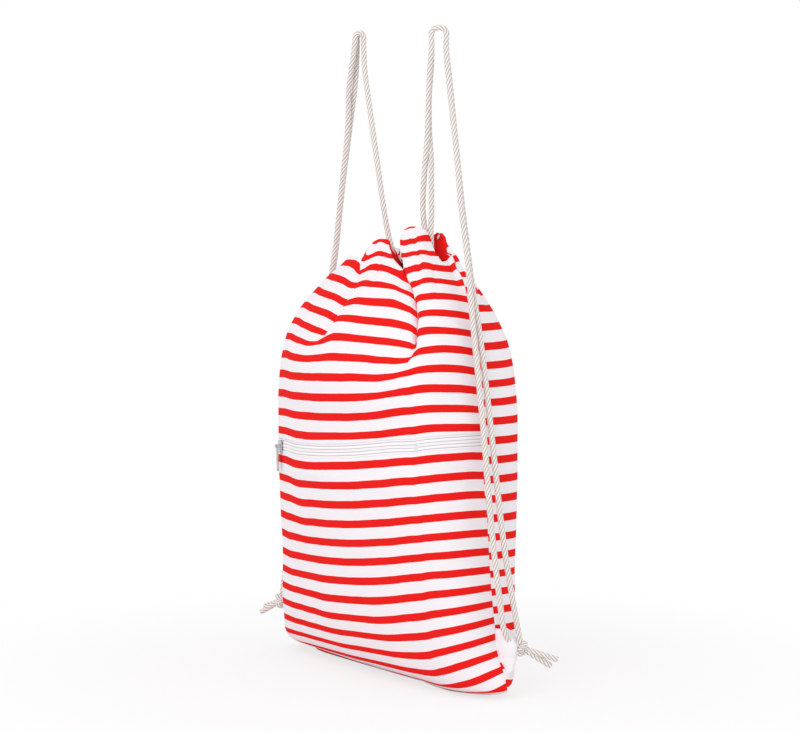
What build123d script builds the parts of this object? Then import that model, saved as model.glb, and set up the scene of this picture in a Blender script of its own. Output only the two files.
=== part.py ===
from build123d import *
import os
from math import asin, cos, degrees, radians, sin, tan

# A gym-sack style drawstring backpack, standing upright and filled.
# Frame: +Z up, X across the bag, the zipped front faces -Y, origin on the floor
# under the middle of the bag.  All sizes are in millimetres.

# ---- fabric and body ---------------------------------------------------------
FABRIC = 1.5              # thickness of the striped cloth
BASE_HALF_WIDTH = 128.0   # flat part that stands on the floor
BASE_HALF_DEPTH = 20.0
CORNER_REACH = 170.0      # from the middle to the point of a bottom corner
CORNER_HEIGHT = 9.0       # height of that point above the floor
CORNER_TIP = 9.0          # length of the corner where the two panels lie on each other

# ---- gathered mouth ----------------------------------------------------------
HEM_TOP = 392.0
HEM_HEIGHT = 22.0         # the hem is the tunnel that holds the drawcords
HEM_BOTTOM = HEM_TOP - HEM_HEIGHT
HEM_HALF_WIDTH = 42.0
HEM_HALF_DEPTH = 30.0
HEM_BULK = 17.0           # from the outside of the gathered hem to its inside
MOUTH_OFFSET = 14.0       # the mouth is pulled a little to the right
NOTCH_HALF = 9.0          # half of the gap at each side seam where the cords come out

# ---- front zip ---------------------------------------------------------------
ZIP_HEIGHT = 205.0        # middle of the zip at X = 0
ZIP_TILT = 4.4            # degrees, the right end stands higher
ZIP_ZONE = 24.5           # half height of the wall around the zip that stands upright
ZIP_HALF_WIDTH = 130.5    # body half width and half depth in that zone
ZIP_HALF_DEPTH = 70.5
SLOT_HALF = 6.0           # half of the gap between the two front cloths
TAPE_THICKNESS = 0.6
TAPE_HIDDEN = 8.0         # how far each tape runs behind the cloth
SEAM_GAP = 0.5            # the tapes stop this far before the side seam
COIL_GAP = 1.3            # slit between the two rows of teeth
COIL_WIDTH = 2.6
COIL_RISE = 1.8
TRAVEL_END = 8.23         # the slider's middle stops this far before the wall turns round

# ---- slider and pull ---------------------------------------------------------
SLIDER_LENGTH = 11.0
PLATE = 1.2               # thickness of the slider's plates
PLATE_HALF = 4.9          # half height of the slider
FLANGE = 1.1
RUN_GAP = 0.4             # clearance between slider and teeth or tape
WEB = 0.6                 # the web that joins both plates through the slit
WEB_LENGTH = 2.5
BAR_RADIUS = 0.65         # the bar that carries the pull
BAR_GAP = 0.35
BARREL_RADIUS = 1.9
BARREL_LENGTH = 4.0
POST_WIDTH = 1.2
POST_HALF = 0.9
PULL_LENGTH = 25.0
PULL_WIDTH = 4.4
PULL_THICKNESS = 1.2
PULL_HOLE = 0.9
STOP_LENGTH = 2.0
STOP_RISE = 0.6           # how far the stops stand out past the teeth
STOP_GAP = 1.0            # between a stop and the slider at the end of its travel

# ---- pocket behind the zip ---------------------------------------------------
POCKET_BOTTOM = 75.0
POCKET_Y = -40.0          # the flat lining stands here
LINING = 0.8
POCKET_TOP_GAP = 0.2      # the lining's top lies on the upper tape with this gap

# ---- corner tabs -------------------------------------------------------------
TAB = 1.2                 # thickness of the white tab
TAB_SEAT = 0.3
EYELET_RADIUS = 3.2
EYELET_X = 160.0
EYELET_HEIGHT = 43.0

# ---- drawcords ---------------------------------------------------------------
CORD = 5.0
LEFT_CORD_HEIGHT = HEM_TOP - 6.5            # the cords lie one above the other in the hem
RIGHT_CORD_HEIGHT = LEFT_CORD_HEIGHT - 7.0
EXIT_HEIGHT = HEM_TOP + 5.0                 # the cords stand clear of the hem here
RING_WIDTH = 21.0         # half of the straight stretch of a cord in the hem's front or back
RING_DEPTH = 20.2         # Y of that stretch
RING_CORNER = 14.0        # Y where it turns towards the side
LEFT_RING_END = 28.9      # X of the left cord's turn at the far side, from the middle
LEFT_EXIT = -29.5         # X of the cords' ends from the middle of the mouth
RIGHT_EXIT = 34.5
LOOP_TOP = 573.0          # each loop hangs from a hook at this height
EXIT_HALF = 3.1           # half the distance between the two strands of one side
KNOT_X = 164.0
KNOT_Y = 18.5
KNOT_HEIGHT = 43.0
KNOT_RADIUS = 7.6
RIGHT_TAILS = [(184.0, 43.0, 33.0), (178.0, 40.0, 27.0)]
LEFT_TAILS = [(-186.0, -23.0, 35.0), (-179.0, -32.0, 31.0)]

# Heights of stations stretch with the run from the corner to the zip's upright wall, and
# with the run from there to the hem, from the runs for which they are given here.
LOWER_RUN = 171.5
UPPER_RUN = 140.5
WALL_BOTTOM = ZIP_HEIGHT - ZIP_ZONE
WALL_TOP = ZIP_HEIGHT + ZIP_ZONE


def lower(rise):
    """Height of a station that stands at a rise above the corner."""
    return CORNER_HEIGHT + rise * (WALL_BOTTOM - CORNER_HEIGHT) / LOWER_RUN


def upper(rise):
    """Height of a station that stands at a rise above the zip's upright wall."""
    return WALL_TOP + rise * (HEM_BOTTOM - WALL_TOP) / UPPER_RUN


# Stations of the body: height, half width, half depth, then the shape of the end:
# where the front turns into the side as shares of half width and half depth, and
# how blunt the side is.  The side is a sharp fold at the bottom corners.
ROUND = (0.86, 0.743, 0.45)
STATIONS = [
    (0.0, BASE_HALF_WIDTH, BASE_HALF_DEPTH, (0.78, 0.80, 0.30)),
    (3.0, 155.0, 29.0, (0.74, 0.80, 0.15)),
    (CORNER_HEIGHT, CORNER_REACH, 37.0, (0.72, 0.82, 0.05)),
    (lower(8.0), 167.0, 42.0, (0.75, 0.80, 0.10)),
    (lower(26.0), 153.0, 48.0, (0.83, 0.76, 0.30)),
    (lower(48.0), 147.5, 52.0, ROUND),
    (lower(91.0), 140.5, 57.0, ROUND),
    (lower(126.0), 137.0, 62.5, ROUND),
    (lower(156.0), 134.0, 66.5, ROUND),
    (WALL_BOTTOM, ZIP_HALF_WIDTH, ZIP_HALF_DEPTH, ROUND),
    (WALL_TOP, ZIP_HALF_WIDTH, ZIP_HALF_DEPTH, ROUND),
    (upper(20.5), 124.0, 75.0, ROUND),
    (upper(41.5), 118.5, 76.5, ROUND),
    (upper(68.5), 113.0, 72.0, ROUND),
    (upper(88.5), 105.5, 64.5, (0.84, 0.75, 0.45)),
    (upper(105.5), 97.5, 56.5, (0.80, 0.76, 0.45)),
    (upper(120.5), 88.5, 50.5, (0.75, 0.77, 0.45)),
    (upper(128.5), 79.5, 46.0, (0.71, 0.78, 0.45)),
    (upper(135.5), 66.0, 39.5, (0.66, 0.79, 0.45)),
    (HEM_BOTTOM, HEM_HALF_WIDTH, HEM_HALF_DEPTH, (0.60, 0.80, 0.45)),
]
NECK_STARTS = upper(68.5)  # above this height the middle moves over to MOUTH_OFFSET
SHARP = 0.25              # ends less blunt than this are folded corners
FRONT, BACK = -1, 1
NECK_SHAPE = (0.60, 0.80, 0.45)


def middle(height):
    """X of the body's middle at a height."""
    rise = max(0.0, height - NECK_STARTS) / (HEM_BOTTOM - NECK_STARTS)
    return MOUTH_OFFSET * min(1.0, rise)


def half_curve(half_width, half_depth, shape, centre, side):
    """Edges of half a section, from its right end round the front or back to its left end."""
    across, deep, blunt = shape
    knuckle = across * half_width
    flat = deep * half_depth
    slope = 2 * (half_depth - flat) / knuckle
    lead = 0.6 * (half_width - knuckle)

    def at(x, y):
        return (centre + x, side * y, 0)

    def corner(sign):
        return [at(sign * half_width, 0),
                at(sign * half_width, blunt * half_depth),
                at(sign * (knuckle + lead), flat - lead * slope),
                at(sign * knuckle, flat)]

    left = corner(-1)
    return [Bezier(*corner(1)),
            Bezier(at(knuckle, flat), at(0, 2 * half_depth - flat), at(-knuckle, flat)),
            Bezier(*reversed(left))]


def half_face(height, half_width, half_depth, shape, centre, side, past_seam=0.0):
    """Half a section as a face at a height, closed along the seam plane or a little past it."""
    right, left = centre + half_width, centre - half_width
    lines = half_curve(half_width, half_depth, shape, centre, side)
    if past_seam:
        beyond = -side * past_seam
        lines += [Line((left, 0), (left, beyond)),
                  Line((left, beyond), (right, beyond)),
                  Line((right, beyond), (right, 0))]
    else:
        lines += [Line((left, 0), (right, 0))]
    return Pos(0, 0, height) * make_face(lines)


def body_half(side):
    """Solid half of the filled body."""
    faces = [half_face(z, a, b, shape, middle(z), side) for z, a, b, shape in STATIONS]
    return loft(faces, ruled=True)


def hollow_half(side):
    """The room inside that half, one cloth thickness away from its outside."""
    faces = []
    for z, a, b, shape in STATIONS:
        folded = shape[2] < SHARP
        low = z < 2 * CORNER_HEIGHT
        tip = CORNER_TIP if folded else 0.0
        faces.append(half_face(z + (FABRIC if low else 0.0), a - FABRIC - tip, b - FABRIC,
                               shape, middle(z), side, past_seam=1.0))
    top = faces[-1]
    return loft(faces, ruled=True) + extrude(top, 2 * FABRIC, dir=(0, 0, 1))


def hem_half(side):
    """Half of the gathered hem, with the tunnel for the cords and a gap at each seam."""
    height = HEM_TOP - HEM_BOTTOM

    def block(inset, low, high, past_seam=0.0):
        face = half_face(low, HEM_HALF_WIDTH - inset, HEM_HALF_DEPTH - inset,
                         NECK_SHAPE, MOUTH_OFFSET, side, past_seam)
        return extrude(face, high - low, dir=(0, 0, 1))

    outside = block(0, HEM_BOTTOM, HEM_TOP)
    mouth = block(HEM_BULK, HEM_BOTTOM - 1, HEM_TOP + 1, past_seam=1.0)
    low, high = HEM_BOTTOM + FABRIC, HEM_TOP - FABRIC
    tunnel = block(FABRIC, low, high, past_seam=1.0)
    tunnel -= block(HEM_BULK - FABRIC, low - 1, high + 1, past_seam=2.0)
    notch = Pos(MOUTH_OFFSET, 0, HEM_BOTTOM + height / 2) * Box(
        3 * HEM_HALF_WIDTH, 2 * NOTCH_HALF, height)
    return outside - mouth - tunnel - notch


def zip_slab(low, high):
    """A wide tilted slab between two heights above the middle of the zip."""
    wide = 3 * CORNER_REACH
    slab = Pos(0, 0, (low + high) / 2) * Box(wide, wide, high - low)
    return Pos(0, 0, ZIP_HEIGHT) * Rot(0, -ZIP_TILT, 0) * slab


def side_reach(height):
    """X of the right side seam at a height, on the ruled body."""
    for (z0, a0, _, _), (z1, a1, _, _) in zip(STATIONS, STATIONS[1:]):
        if z0 <= height <= z1:
            return a0 + (a1 - a0) * (height - z0) / (z1 - z0)
    return STATIONS[-1][1]


def block_at(x0, x1, y0, y1, z0, z1):
    """A box between two corners."""
    return Pos((x0 + x1) / 2, (y0 + y1) / 2, (z0 + z1) / 2) * Box(x1 - x0, y1 - y0, z1 - z0)


# ---- cloth panels ------------------------------------------------------------
room_front = hollow_half(FRONT)
room_back = hollow_half(BACK)
front_shell = body_half(FRONT) - room_front
front_lower = front_shell - zip_slab(-SLOT_HALF, 2 * HEM_TOP)
front_upper = front_shell - zip_slab(-2 * HEM_TOP, SLOT_HALF) + hem_half(FRONT)
back = body_half(BACK) - room_back + hem_half(BACK)


# ---- zip ---------------------------------------------------------------------
def wall_strip(outer, inner, low, high, span=(-CORNER_REACH, CORNER_REACH)):
    """Part of a layer that follows the upright front wall, between two offsets from it."""
    base, top = ZIP_HEIGHT - 2 * ZIP_ZONE, ZIP_HEIGHT + 2 * ZIP_ZONE

    def block(offset, past_seam=0.0):
        face = half_face(base, ZIP_HALF_WIDTH + offset, ZIP_HALF_DEPTH + offset, ROUND,
                         0, FRONT, past_seam)
        return extrude(face, top - base, dir=(0, 0, 1))

    layer = block(outer) - block(inner, past_seam=1.0)
    layer = layer & zip_slab(low, high)
    return layer & block_at(*span, -2 * ZIP_HALF_DEPTH, -SEAM_GAP, base, top)


tape_face = -FABRIC
tape_back = tape_face - TAPE_THICKNESS
coil_low = COIL_GAP / 2
coil_high = coil_low + COIL_WIDTH
tape_high = SLOT_HALF + TAPE_HIDDEN
knuckle_x = ROUND[0] * ZIP_HALF_WIDTH
travel_half = knuckle_x - TRAVEL_END
coil_reach = travel_half + SLIDER_LENGTH / 2 + STOP_GAP
stop_reach = coil_reach + STOP_LENGTH
coil_face = tape_face + COIL_RISE

tape_upper = wall_strip(tape_face, tape_back, coil_low, tape_high)
tape_lower = wall_strip(tape_face, tape_back, -tape_high, -coil_low)
teeth = (-coil_reach, coil_reach)
coil_upper = wall_strip(coil_face, tape_face, coil_low, coil_high, teeth)
coil_lower = wall_strip(coil_face, tape_face, -coil_high, -coil_low, teeth)
stops = [wall_strip(coil_face + STOP_RISE, tape_face, -coil_high, coil_high, span)
         for span in ((-stop_reach, -coil_reach), (coil_reach, stop_reach))]

# The slider runs on the circle through the wall's middle and its two knuckles.
knuckle_sag = (1 - ROUND[1]) * ZIP_HALF_DEPTH
ZIP_RADIUS = (knuckle_x ** 2 + knuckle_sag ** 2) / (2 * knuckle_sag)
zip_centre_y = ZIP_RADIUS - ZIP_HALF_DEPTH
park_angle = degrees(asin(travel_half / ZIP_RADIUS))


def on_zip(angle):
    """Frame on the zip at an angle from its middle: x along the zip, y inwards, z across it."""
    tilt = Rot(0, -ZIP_TILT, 0)
    return Pos(0, zip_centre_y, ZIP_HEIGHT) * tilt * Rot(0, 0, angle) * Pos(0, -ZIP_RADIUS, 0)


half_slider = SLIDER_LENGTH / 2
teeth_top = FABRIC - COIL_RISE          # y of the front of the teeth, + is inwards
plate_in = teeth_top - RUN_GAP
plate_out = plate_in - PLATE
back_in = -tape_back + RUN_GAP
slider = block_at(-half_slider, half_slider, plate_out, plate_in, -PLATE_HALF, PLATE_HALF)
slider += block_at(-half_slider, half_slider, back_in, back_in + PLATE, -PLATE_HALF, PLATE_HALF)
for side in (-1, 1):
    edge = sorted((side * PLATE_HALF, side * (PLATE_HALF - FLANGE)))
    slider += block_at(-half_slider, half_slider, plate_in, FABRIC - 1.5 * RUN_GAP, *edge)
slider += block_at(half_slider - WEB_LENGTH, half_slider, plate_in, back_in, -WEB / 2, WEB / 2)

bar_y = plate_out - BAR_GAP - BARREL_RADIUS
bar_half = BARREL_LENGTH / 2 + BAR_GAP
for side in (-1, 1):
    foot = sorted((side * bar_half, side * (bar_half + POST_WIDTH)))
    slider += block_at(*foot, bar_y - POST_HALF, plate_out, -POST_HALF, POST_HALF)
slider += Pos(0, bar_y, 0) * Rot(0, 90, 0) * Cylinder(BAR_RADIUS, 2 * (bar_half + POST_WIDTH))
slider = on_zip(-park_angle) * slider

barrel = Rot(0, 90, 0) * Cylinder(BARREL_RADIUS, BARREL_LENGTH)
plate_length = PULL_LENGTH - BARREL_RADIUS
leaf = Pos(0, 0, -plate_length / 2) * Box(PULL_WIDTH, PULL_THICKNESS, plate_length)
rounded = leaf.edges().filter_by(Axis.Y).group_by(Axis.Z)[0]
leaf = fillet(rounded, PULL_WIDTH / 2 - 0.05)
leaf -= Pos(0, 0, -plate_length + PULL_WIDTH / 2) * Rot(90, 0, 0) * Cylinder(PULL_HOLE, 3)
pull = barrel + leaf - Rot(0, 90, 0) * Cylinder(BAR_RADIUS + BAR_GAP, 2 * PULL_WIDTH)
pull = on_zip(-park_angle) * Pos(0, bar_y, 0) * pull

# ---- pocket lining -----------------------------------------------------------
wide = 2 * CORNER_REACH
lining_top = SLOT_HALF + TAPE_HIDDEN + POCKET_TOP_GAP
sheet = block_at(-wide, wide, POCKET_Y - LINING, POCKET_Y, POCKET_BOTTOM, HEM_TOP)
sheet -= zip_slab(lining_top + LINING, HEM_TOP)
roof = zip_slab(lining_top, lining_top + LINING) & block_at(
    -wide, wide, -wide, POCKET_Y, POCKET_BOTTOM, HEM_TOP)
floor = block_at(-wide, wide, -wide, POCKET_Y, POCKET_BOTTOM, POCKET_BOTTOM + LINING)
lining = (sheet + roof + floor) & room_front
lining -= wall_strip(1, tape_back - POCKET_TOP_GAP, -lining_top, lining_top)


# ---- corner tabs -------------------------------------------------------------
# Each station: height, how far the tab stands out from the seam, half its depth.
TAB_STATIONS = [(17.0, 3.0, 2.4), (24.0, 9.0, 5.0), (32.0, 15.0, 8.5), (40.0, 18.0, 10.5),
                (50.0, 19.0, 11.0), (57.0, 18.0, 9.8)]


def bow(x, out, half):
    """Two edges of half an ellipse that stands out from x."""
    k = 0.5523
    return [Bezier((x, -half), (x + k * out, -half), (x + out, -k * half), (x + out, 0)),
            Bezier((x + out, 0), (x + out, k * half), (x + k * out, half), (x, half))]


def tab_face(height, out, half):
    """A crescent of the tab at a height."""
    x = side_reach(height) + TAB_SEAT
    lines = bow(x, out, half) + [Line((x, half), (x, half - TAB))]
    inner = bow(x, out - TAB, half - TAB)
    lines += inner + [Line((x, TAB - half), (x, -half))]
    return Pos(0, 0, height) * make_face(lines)


right_tab = loft([tab_face(*station) for station in TAB_STATIONS], ruled=True)
eyelet = Pos(EYELET_X, KNOT_Y / 2, EYELET_HEIGHT) * Rot(90, 0, 0) * Cylinder(EYELET_RADIUS, KNOT_Y)
right_tab -= eyelet & block_at(0, wide, 0, KNOT_Y, 0, HEM_TOP)
left_tab = Rot(0, 0, 180) * right_tab


# ---- drawcords ---------------------------------------------------------------
def arc_radii(points):
    """The largest even arcs: 0.45 of the shorter run over the tangent of half the turn."""
    radii = []
    for before, here, after in zip(points, points[1:], points[2:]):
        run_in, run_out = Vector(here) - Vector(before), Vector(after) - Vector(here)
        half_turn = radians(run_in.get_angle(run_out)) / 2
        radii.append(0.45 * min(run_in.length, run_out.length) / tan(half_turn))
    return radii


def tube(name, points):
    """A round cord along straight runs joined by tangent arcs."""
    radii = arc_radii(points)
    path = FilletPolyline(*points, radius=radii)
    solid = sweep(Plane(path @ 0, z_dir=path % 0) * Circle(CORD / 2), path=path)
    area = 3.14159265 * CORD ** 2 / 4
    print(f"{name}: length {path.length:.0f} mm, volume ratio "
          f"{solid.volume / (area * path.length):.4f}, radii",
          " ".join(f"{r:.0f}" for r in radii))
    return solid


def hem_ring(name, ends_x, far_x, height):
    """The stretch of a cord inside the hem, once round from one strand to the other."""
    sign = 1 if ends_x > 0 else -1
    plan = [(ends_x - sign * 2.0, -RING_CORNER), (sign * RING_WIDTH, -RING_DEPTH),
            (-sign * RING_WIDTH, -RING_DEPTH), (far_x, -RING_CORNER)]
    points = [(ends_x, -EXIT_HALF, EXIT_HEIGHT), (ends_x, -EXIT_HALF, height)]
    points += [(x, y, height) for x, y in plan]
    points += [(x, -y, height) for x, y in reversed(plan)]
    points += [(ends_x, EXIT_HALF, height), (ends_x, EXIT_HALF, EXIT_HEIGHT)]
    return tube(name, [(x + MOUTH_OFFSET, y, z) for x, y, z in points])


left_ring = hem_ring("left_channel_cord", LEFT_EXIT, LEFT_RING_END, LEFT_CORD_HEIGHT)
right_ring = hem_ring("right_channel_cord", RIGHT_EXIT, LEFT_EXIT, RIGHT_CORD_HEIGHT)

# Each strand goes from the hem up over a loop and down to its corner.  One strand of
# each cord goes through the tab and its eyelet, the other one straight to the knot.
left_x = MOUTH_OFFSET + LEFT_EXIT
right_x = MOUTH_OFFSET + RIGHT_EXIT
front_y, back_y = -EXIT_HALF, EXIT_HALF
rise = EXIT_HEIGHT + 12.0
strands = {
    "left_strand_front": [
        (left_x, front_y, EXIT_HEIGHT), (left_x, front_y, rise), (-54.0, 3.7, LOOP_TOP),
        (-61.4, -6.9, LOOP_TOP), (-104.0, 1.4, 365.0), (-139.0, -9.0, 207.0),
        (-KNOT_X - 1.5, 1.5 - KNOT_Y, KNOT_HEIGHT + 4)],
    "left_strand_back": [
        (left_x, back_y, EXIT_HEIGHT), (left_x, back_y, rise), (-58.6, 6.9, LOOP_TOP),
        (-66.0, -3.7, LOOP_TOP), (-104.0, 7.8, 365.0), (-139.0, -2.0, 207.0),
        (-EYELET_X, 3.0, 68.0), (-EYELET_X, 2.0, EYELET_HEIGHT),
        (-EYELET_X, 4.5 - KNOT_Y, EYELET_HEIGHT)],
    "right_strand_front": [
        (right_x, front_y, EXIT_HEIGHT), (right_x, front_y, rise), (62.0, -7.7, LOOP_TOP),
        (70.6, 4.5, LOOP_TOP), (118.0, 0.7, 300.0), (139.0, -4.6, 207.0),
        (155.5, -6.0, 110.0), (EYELET_X, -3.0, 68.0), (EYELET_X, -2.0, EYELET_HEIGHT),
        (EYELET_X, KNOT_Y - 4.5, EYELET_HEIGHT)],
    "right_strand_back": [
        (right_x, back_y, EXIT_HEIGHT), (right_x, back_y, rise), (57.4, -4.5, LOOP_TOP),
        (66.0, 7.7, LOOP_TOP), (118.0, 8.0, 300.0), (139.0, 3.2, 207.0),
        (155.0, 5.0, 110.0), (KNOT_X + 1.5, KNOT_Y - 1.5, KNOT_HEIGHT + 4)],
}
strand_solids = {name: tube(name, points) for name, points in strands.items()}


def knot(x, y, tails):
    """An overhand knot as a plain lump with its two tails."""
    lump = Pos(x, y, KNOT_HEIGHT) * Sphere(KNOT_RADIUS)
    for end in tails:
        start = Vector(x, y, KNOT_HEIGHT)
        run = Vector(*end) - start
        lump += extrude(Plane(start, z_dir=run) * Circle(CORD / 2), run.length)
    return lump


right_knot = knot(KNOT_X, KNOT_Y, RIGHT_TAILS)
left_knot = knot(-KNOT_X, -KNOT_Y, LEFT_TAILS)
for name, solid in strand_solids.items():
    if name.startswith("left"):
        left_knot -= solid
    else:
        right_knot -= solid

# ---- write one file per piece ------------------------------------------------
os.makedirs("parts", exist_ok=True)
pieces = {
    "front_panel_lower": front_lower,
    "front_panel_upper": front_upper,
    "back_panel": back,
    "pocket_lining": lining,
    "zip_tape_upper": tape_upper,
    "zip_tape_lower": tape_lower,
    "zip_coil_upper": coil_upper,
    "zip_coil_lower": coil_lower,
    "zip_end_stops": Compound(children=[Part() + stop for stop in stops]),
    "zip_slider": slider,
    "zip_pull": pull,
    "left_corner_tab": left_tab,
    "right_corner_tab": right_tab,
    "left_channel_cord": left_ring,
    "right_channel_cord": right_ring,
    "left_knot": left_knot,
    "right_knot": right_knot,
    **strand_solids,
}
for name, piece in pieces.items():
    export_step(piece, f"parts/{name}.step")

axis_tilt = radians(ZIP_TILT)
park = on_zip(-park_angle)
bar = (park * Pos(0, bar_y, 0)).position
along = (park * Pos(1, 0, 0)).position - park.position
print(f"zip axis through (0, {zip_centre_y:.3f}, {ZIP_HEIGHT}), direction "
      f"({-sin(axis_tilt):.5f}, 0, {cos(axis_tilt):.5f}), travel {2 * park_angle:.2f} degrees")
print(f"pull bar at ({bar.X:.3f}, {bar.Y:.3f}, {bar.Z:.3f}), direction "
      f"({along.X:.5f}, {along.Y:.5f}, {along.Z:.5f})")
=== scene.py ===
"""Looks of a striped drawstring backpack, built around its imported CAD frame."""
import math

import bpy
import numpy as np
from bpy.props import FloatProperty, FloatVectorProperty, IntProperty, PointerProperty
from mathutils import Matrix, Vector


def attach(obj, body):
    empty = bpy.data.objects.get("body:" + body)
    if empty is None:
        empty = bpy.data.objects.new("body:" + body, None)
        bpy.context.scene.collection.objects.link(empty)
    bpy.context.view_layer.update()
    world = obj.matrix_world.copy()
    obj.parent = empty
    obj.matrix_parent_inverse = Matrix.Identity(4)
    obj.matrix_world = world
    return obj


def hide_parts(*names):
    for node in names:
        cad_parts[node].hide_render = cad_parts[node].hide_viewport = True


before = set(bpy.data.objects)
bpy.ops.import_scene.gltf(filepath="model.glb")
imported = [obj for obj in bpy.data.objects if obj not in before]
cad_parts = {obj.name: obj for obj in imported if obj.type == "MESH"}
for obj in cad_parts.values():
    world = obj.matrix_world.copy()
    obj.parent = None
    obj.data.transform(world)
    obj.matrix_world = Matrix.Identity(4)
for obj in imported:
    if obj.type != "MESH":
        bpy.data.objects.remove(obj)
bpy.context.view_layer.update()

bl_info = {
    "name": "Striped Drawstring Backpack",
    "version": (1, 0, 0),
    "blender": (4, 5, 0),
    "location": "View3D > Sidebar > Backpack",
    "description": "Builds the cloth, zip, cords and stage of a drawstring backpack",
    "category": "Object",
}

MM = 0.001

# ---- camera -------------------------------------------------------------------
CAMERA_AZIMUTH = math.radians(55.86)
CAMERA_DISTANCE = 2.286
CAMERA_HEIGHT = 0.433
CAMERA_LENS = 115.46
AIM_HEIGHT = 0.2743
AIM_ACROSS = 0.0049
TOWARDS = np.array([math.sin(CAMERA_AZIMUTH), -math.cos(CAMERA_AZIMUTH), 0.0])
ACROSS = np.array([math.cos(CAMERA_AZIMUTH), math.sin(CAMERA_AZIMUTH), 0.0])

# ---- the body, in millimetres ---------------------------------------------------
# Each station: height, half width, half depth, then the shape of its ends: where the
# front turns into the side (shares of half width and half depth) and how blunt it is.
STATIONS = np.array([
    (0.0, 128.0, 20.0, 0.78, 0.80, 0.30),
    (3.0, 155.0, 29.0, 0.74, 0.80, 0.15),
    (9.0, 170.0, 37.0, 0.72, 0.82, 0.05),
    (17.0, 167.0, 42.0, 0.75, 0.80, 0.10),
    (35.0, 153.0, 48.0, 0.83, 0.76, 0.30),
    (57.0, 147.5, 52.0, 0.86, 0.743, 0.45),
    (100.0, 140.5, 57.0, 0.86, 0.743, 0.45),
    (135.0, 137.0, 62.5, 0.86, 0.743, 0.45),
    (165.0, 134.0, 66.5, 0.86, 0.743, 0.45),
    (180.5, 130.5, 70.5, 0.86, 0.743, 0.45),
    (229.5, 130.5, 70.5, 0.86, 0.743, 0.45),
    (250.0, 124.0, 75.0, 0.86, 0.743, 0.45),
    (271.0, 118.5, 76.5, 0.86, 0.743, 0.45),
    (298.0, 113.0, 72.0, 0.86, 0.743, 0.45),
    (318.0, 105.5, 64.5, 0.84, 0.75, 0.45),
    (335.0, 97.0, 56.5, 0.80, 0.76, 0.45),
    (350.0, 86.5, 49.5, 0.76, 0.76, 0.45),
    (357.0, 79.0, 46.0, 0.73, 0.77, 0.45),
    (364.0, 69.5, 42.0, 0.70, 0.78, 0.45),
    (371.0, 63.0, 39.5, 0.68, 0.79, 0.45),
    (378.0, 54.5, 35.5, 0.66, 0.80, 0.45),
    (386.0, 48.0, 32.0, 0.62, 0.80, 0.45),
    (402.0, 46.0, 31.0, 0.60, 0.80, 0.45),
])
FRONT, BACK = -1, 1
KNUCKLE_SHARE = 0.77      # share of a half section that is its parabola
# The middle of the bag moves to the right between two heights, by an offset at the mouth.
NECK_STARTS, NECK_ENDS, MOUTH_OFFSET = 298.0, 374.0, 14.0
# How far the right seam turns to the back, in shares of the half section: heights, turns.
SEAM_TURN = ((10, 40, 160, 215, 270, 318, 336, 350, 362, 375, 400),
             (0, 0.022, 0.022, 0.021, 0.020, 0.050, 0.076, 0.098, 0.13, 0.155, 0.165))
# Heights at which the walls are worked out; points between two of them are read in proportion.
LADDER = np.arange(0.0, 406.0, 2.0)

ZIP_HEIGHT = 205.0        # of the zip's straight line at X 0
ZIP_SLOPE = math.tan(math.radians(4.4))
SLOT_HALF = 6.0           # half the gap in the cloth that shows the zip
# How far the zip hangs below its straight line at places along X; less than 0 is above it.
ZIP_SAG = np.array([(-131, -0.6), (-95, -0.6), (-62, 2.0), (-14, 3.1), (25, 2.6), (71, 0.3),
                    (86, -0.55), (96, -0.6), (106, -0.7), (116, -1.9), (125, -2.8), (131, -3.0)])
HALF_CLOTH = 170.0        # half the width of the cloth, which scales its first coordinate
FIRST_STRIPE = 13.2       # from the middle of the zip to the middle of the next red stripe
BACK_STRIPE = 198.7       # height of the middle of one red stripe on the back
BACK_JOIN = 180.0         # height where the back's lower and upper grid meet
# Columns of the meshes, then rows below and above the zip or the join.
FRONT_COLUMNS, FRONT_LOWER_ROWS, FRONT_UPPER_ROWS = 285, 155, 150
BACK_COLUMNS, BACK_LOWER_ROWS, BACK_UPPER_ROWS = 250, 66, 95


def smooth_through(x, xs, ys):
    """Curve through points: cubic pieces whose slopes are harmonic means, so that it never
    overshoots."""
    gap = np.diff(xs)
    rise = np.diff(ys, axis=0) / gap[:, None]
    slope = np.zeros_like(ys)
    slope[0], slope[-1] = rise[0], rise[-1]
    product = rise[:-1] * rise[1:]
    total = rise[:-1] + rise[1:]
    slope[1:-1] = np.where(product > 0, 2 * product / np.where(total == 0, 1, total), 0)
    i = np.clip(np.searchsorted(xs, x, side="right") - 1, 0, len(xs) - 2)
    h = gap[i][..., None]
    t = ((x - xs[i]) / gap[i])[..., None]
    return ((2 * t**3 - 3 * t**2 + 1) * ys[i] + (t**3 - 2 * t**2 + t) * h * slope[i]
            + (3 * t**2 - 2 * t**3) * ys[i + 1] + (t**3 - t**2) * h * slope[i + 1])


def ease(x, low, high):
    """0 below low, 1 above high, and a smooth cubic between."""
    t = np.clip((x - low) / (high - low), 0, 1)
    return t * t * (3 - 2 * t)


def bump(x, centre, width):
    """A bell: e to the minus square of the distance in widths."""
    return np.exp(-((x - centre) / width) ** 2)


def lengths(points):
    """Length from the first point to each one, along a line or up each column of a grid."""
    run = np.cumsum(np.linalg.norm(np.diff(points, axis=0), axis=-1), axis=0)
    return np.concatenate([np.zeros_like(run[:1]), run])


def zip_line(x):
    """Height of the middle of the zip at an X: a tilted line less its sag."""
    inner = np.clip(x, ZIP_SAG[0, 0], ZIP_SAG[-1, 0])
    return ZIP_HEIGHT + x * ZIP_SLOPE - smooth_through(inner, ZIP_SAG[:, 0], ZIP_SAG[:, 1:])[..., 0]


def middle(height):
    """X of the body's middle at a height."""
    return MOUTH_OFFSET * np.clip((height - NECK_STARTS) / (NECK_ENDS - NECK_STARTS), 0, 1) ** 2.5


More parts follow.
